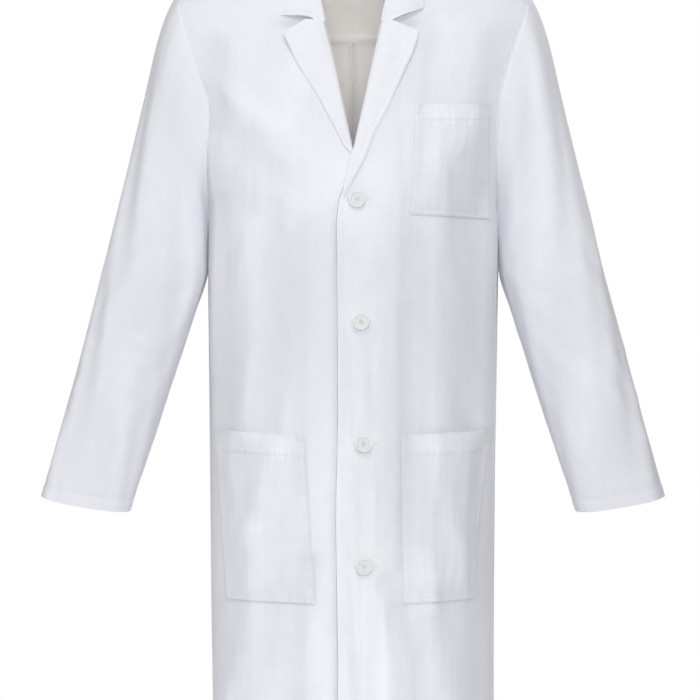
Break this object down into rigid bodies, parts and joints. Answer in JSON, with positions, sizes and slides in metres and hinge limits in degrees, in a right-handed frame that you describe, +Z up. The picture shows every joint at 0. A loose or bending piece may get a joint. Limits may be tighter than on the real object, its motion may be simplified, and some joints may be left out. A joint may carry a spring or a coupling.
{
  "type": "lab coat",
  "caption": "Long white laboratory coat with notched collar, long sleeves, buttoned front, breast pocket and two hip pockets; sleeves swing at the shoulders.",
  "frame": {"origin": "middle of the neck opening, level with the tops of the shoulder seams, where a person's shoulders or a hanger carry the coat", "axes": "+Z up, -Y the coat's front, +X the wearer's left"},
  "size_m": [0.768, 0.2882, 1.066],
  "materials": {
    "cloth": "matte",
    "interfacing": "matte",
    "thread": "satin",
    "tape": "matte",
    "button": "gloss"
  },
  "bodies": {
    "coat": {"left_front": "cloth", "right_front": "cloth", "back_left": "cloth", "back_right": "cloth", "back_yoke": "cloth", "left_facing": "cloth", "right_facing": "cloth", "top_collar": "cloth", "collar_interfacing": "interfacing", "under_collar": "cloth", "collar_stand": "cloth", "breast_pocket": "cloth", "left_hip_pocket": "cloth", "right_hip_pocket": "cloth", "buttonhole_stitching": "thread", "hanger_loop": "tape"},
    "left_sleeve": {"left_sleeve": "cloth"},
    "right_sleeve": {"right_sleeve": "cloth"},
    "button_1": {"button_1": "button", "button_thread_1": "thread"},
    "button_2": {"button_2": "button", "button_thread_2": "thread"},
    "button_3": {"button_3": "button", "button_thread_3": "thread"},
    "button_4": {"button_4": "button", "button_thread_4": "thread"}
  },
  "joints": [
    {"name": "left_shoulder", "type": "hinge", "parent": "coat", "child": "left_sleeve", "pos_m": [0.219, 0, -0.04], "axis": [0, -1, 0], "range_deg": [0, 35]},
    {"name": "right_shoulder", "type": "hinge", "parent": "coat", "child": "right_sleeve", "pos_m": [-0.219, 0, -0.04], "axis": [0, 1, 0], "range_deg": [0, 35]},
    {"name": "button_1_turn", "type": "hinge", "parent": "coat", "child": "button_1", "pos_m": [0.005, -0.135, -0.2915], "axis": [0, -1, 0], "range_deg": [-40, 40], "stiffness_Nm_per_rad": 0.0004},
    {"name": "button_2_turn", "type": "hinge", "parent": "coat", "child": "button_2", "pos_m": [0.01, -0.135, -0.441], "axis": [0, -1, 0], "range_deg": [-40, 40], "stiffness_Nm_per_rad": 0.0004},
    {"name": "button_3_turn", "type": "hinge", "parent": "coat", "child": "button_3", "pos_m": [0.013, -0.135, -0.5905], "axis": [0, -1, 0], "range_deg": [-40, 40], "stiffness_Nm_per_rad": 0.0004},
    {"name": "button_4_turn", "type": "hinge", "parent": "coat", "child": "button_4", "pos_m": [0.0135, -0.135, -0.74], "axis": [0, -1, 0], "range_deg": [-40, 40], "stiffness_Nm_per_rad": 0.0004}
  ]
}
